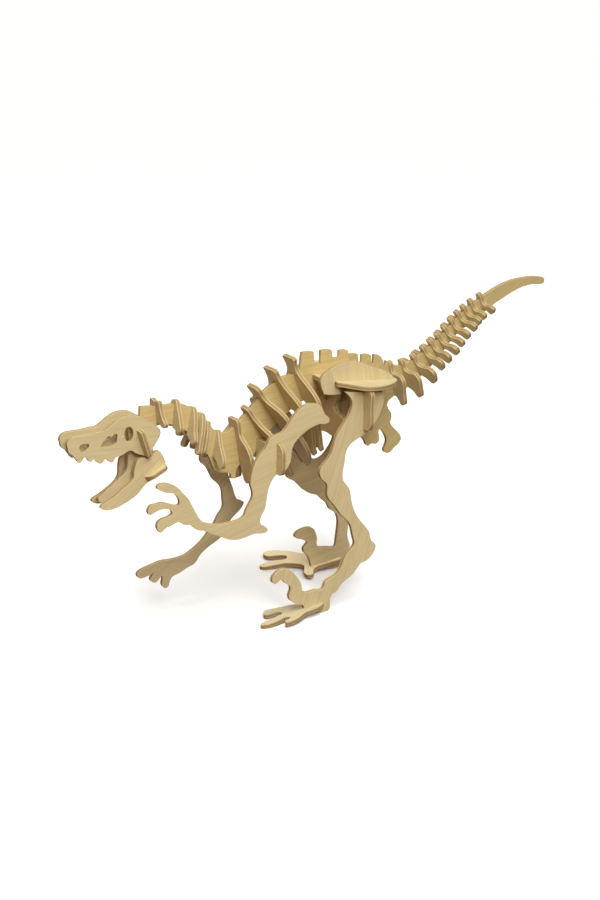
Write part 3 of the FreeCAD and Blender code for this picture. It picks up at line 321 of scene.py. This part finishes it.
# ---------------------------------------------------------------- floor and light
bm = bmesh.new()
bmesh.ops.create_grid(bm, x_segments=1, y_segments=1, size=80.0)
me = bpy.data.meshes.new("floor")
bm.to_mesh(me)
bm.free()
floor = bpy.data.objects.new("floor", me)
SCENE.collection.objects.link(floor)
floor.visible_diffuse = False
mat = bpy.data.materials.new("floor")
mat.use_nodes = True
b = mat.node_tree.nodes["Principled BSDF"]
b.inputs["Base Color"].default_value = (0.90, 0.915, 0.94, 1)
b.inputs["Roughness"].default_value = 0.9
b.inputs["Specular IOR Level"].default_value = 0.0
floor.data.materials.append(mat)

world = bpy.data.worlds.new("studio")
SCENE.world = world
world.use_nodes = True
w = world.node_tree
back = w.nodes["Background"]
back.inputs[1].default_value = 0.42
ray = node(w, "ShaderNodeTexCoord", -800, 0)
height = node(w, "ShaderNodeSeparateXYZ", -600, 0)
w.links.new(ray.outputs["Generated"], height.inputs[0])
up = maths(w, -400, 0, "MULTIPLY_ADD", height.outputs[2], 0.5, 0.5)
sky = ramp(w, -200, 0, ((0.0, (0.16, 0.085, 0.045)), (0.44, (0.35, 0.20, 0.115)), (0.56, (0.95, 0.76, 0.62)), (1.0, (1, 0.93, 0.88))), up)
front = ramp(w, -200, -300, ((0.0, (1, 1, 1)), (0.50, (0, 0, 0))), maths(w, -400, -300, "MULTIPLY_ADD", height.outputs[0], 0.5, 0.5))
w.links.new(mix(w, 100, 0, front, sky, (0.56, 0.26, 0.12)), back.inputs[0])
backdrop = node(w, "ShaderNodeBackground", 200, -200)
backdrop.inputs[0].default_value = (0.93, 0.94, 0.95, 1)
backdrop.inputs[1].default_value = 1.0
seen = node(w, "ShaderNodeLightPath", 200, 200)
both = node(w, "ShaderNodeMixShader", 400, 0)
w.links.new(seen.outputs["Is Camera Ray"], both.inputs[0])
w.links.new(back.outputs[0], both.inputs[1])
w.links.new(backdrop.outputs[0], both.inputs[2])
for out in [n for n in w.nodes if n.type == "OUTPUT_WORLD"]:
    w.links.new(both.outputs[0], out.inputs["Surface"])

sun = bpy.data.lights.new("overhead", "SUN")
sun.energy = 2.7
sun.angle = math.radians(48)
sun.color = (0.97, 1, 0.97)
lamp = bpy.data.objects.new("overhead", sun)
SCENE.collection.objects.link(lamp)
lamp.location = (0.1, -0.34, 1.0)
lamp.rotation_mode = "QUATERNION"
lamp.rotation_quaternion = (-Vector((-0.04, -0.36, 0.93))).to_track_quat("-Z", "Y")

soft = bpy.data.lights.new("softbox", "AREA")
soft.shape = "DISK"
soft.size = 0.5
soft.energy = 7.6
soft.color = (0.97, 1, 0.97)
box = bpy.data.objects.new("softbox", soft)
SCENE.collection.objects.link(box)
box.location = (-0.34, -1.0, 0.80)
box.rotation_mode = "QUATERNION"
box.rotation_quaternion = (Vector((0.0, 0.0, 0.1)) - box.location).to_track_quat("-Z", "Y")

rear = bpy.data.lights.new("rear_fill", "AREA")
rear.shape = "DISK"
rear.size = 0.8
rear.energy = 7.0
rear.color = (1, 0.985, 0.95)
fill = bpy.data.objects.new("rear_fill", rear)
SCENE.collection.objects.link(fill)
fill.location = (0.10, 1.20, 0.34)
fill.rotation_mode = "QUATERNION"
fill.rotation_quaternion = (Vector((0.0, 0.0, 0.1)) - fill.location).to_track_quat("-Z", "Y")

SCENE.view_settings.view_transform = "Standard"
SCENE.view_settings.look = "None"
